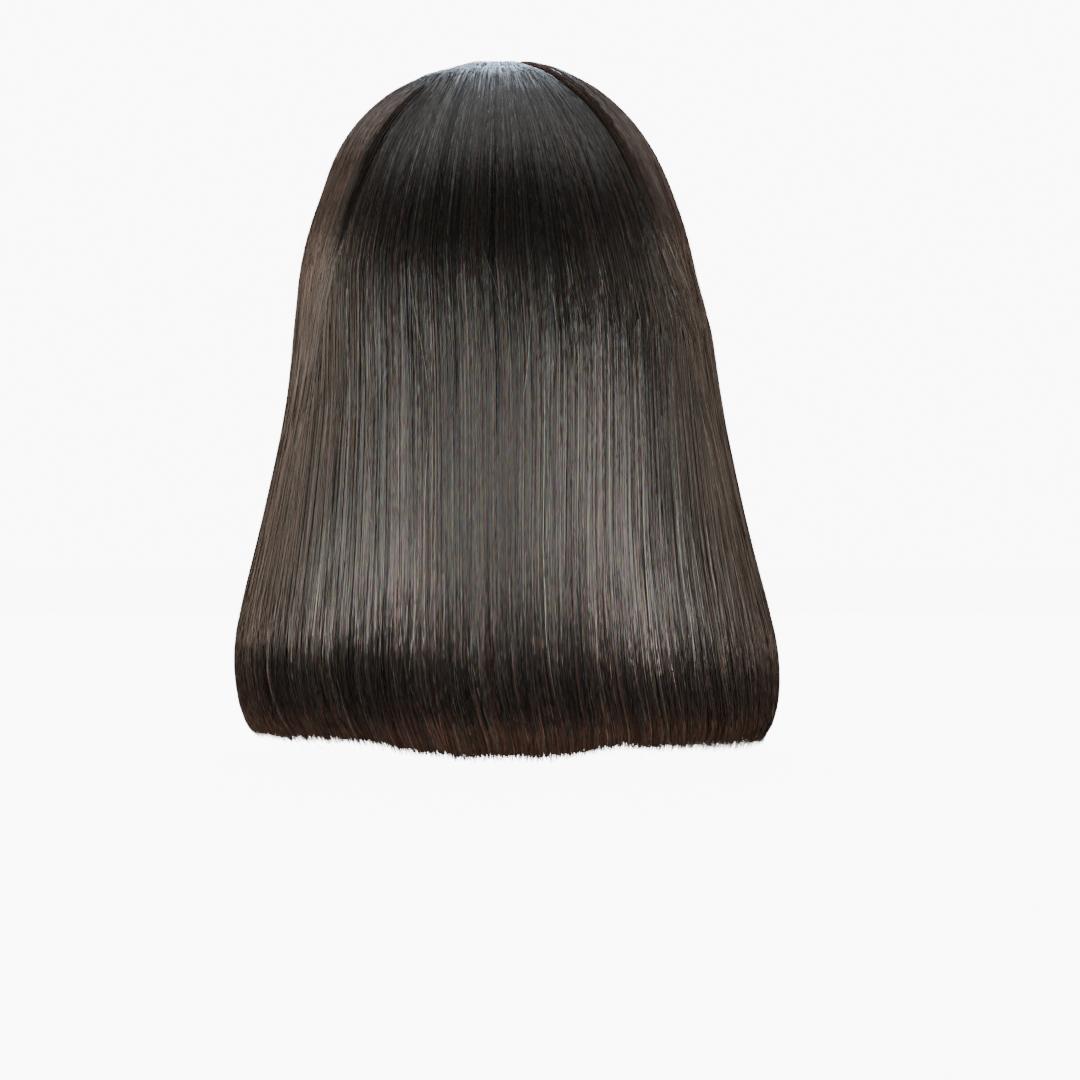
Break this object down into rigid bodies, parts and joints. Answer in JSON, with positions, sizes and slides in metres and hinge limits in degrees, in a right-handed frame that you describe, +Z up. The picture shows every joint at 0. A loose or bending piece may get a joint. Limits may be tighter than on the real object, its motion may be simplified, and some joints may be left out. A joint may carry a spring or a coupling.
{
  "type": "bob wig",
  "caption": "Straight dark bob wig with a centre parting and a blunt, inward-curving hem: a fitted net cap with a lace panel along the parting, worn over the head.",
  "frame": {"origin": "inside of the cap at the crown, where the top of the head sits", "axes": "+Z up, the face opening looks along -Y and the back hair along +Y, the wearer's left is +X"},
  "size_m": [0.2685, 0.209, 0.3303],
  "materials": {
    "cap_net": "matt black stretch net with sewn wefts and a bound rim",
    "lace": "matt flesh-toned lace",
    "hair": "satin, straight brown-black strands with finer grey and warm brown ones"
  },
  "bodies": {
    "root": {"cap": "cap_net", "lace_panel": "lace", "hair_back": "hair", "hair_left": "hair", "hair_right": "hair", "hair_nape": "hair"}
  },
  "joints": []
}
